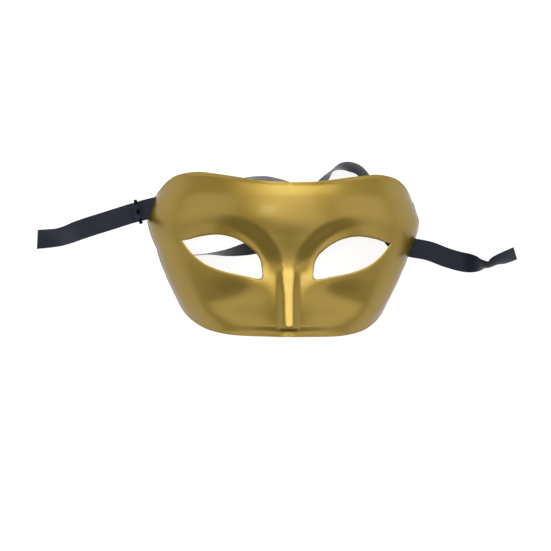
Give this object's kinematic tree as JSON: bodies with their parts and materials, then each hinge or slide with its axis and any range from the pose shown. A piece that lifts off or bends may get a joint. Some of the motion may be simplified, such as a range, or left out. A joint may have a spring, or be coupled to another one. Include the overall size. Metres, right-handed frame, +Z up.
{
  "type": "venetian half mask",
  "caption": "Metallic gold half mask with almond eye holes, a narrow nose ridge and a curved top edge, lying face up with its black satin ribbon ties.",
  "frame": {"origin": "centre of the whole object's outline on the floor", "axes": "+Z up, out of the face; +Y towards the forehead; +X towards the right-hand ribbon as seen from above"},
  "size_m": [0.3184, 0.1151, 0.0712],
  "materials": {
    "gold_paint": "satin metallic gold paint on moulded plastic",
    "black_satin": "woven satin ribbon"
  },
  "bodies": {
    "root": {"mask_shell": "gold_paint", "ribbon_left": "black_satin", "ribbon_right": "black_satin"}
  },
  "joints": []
}
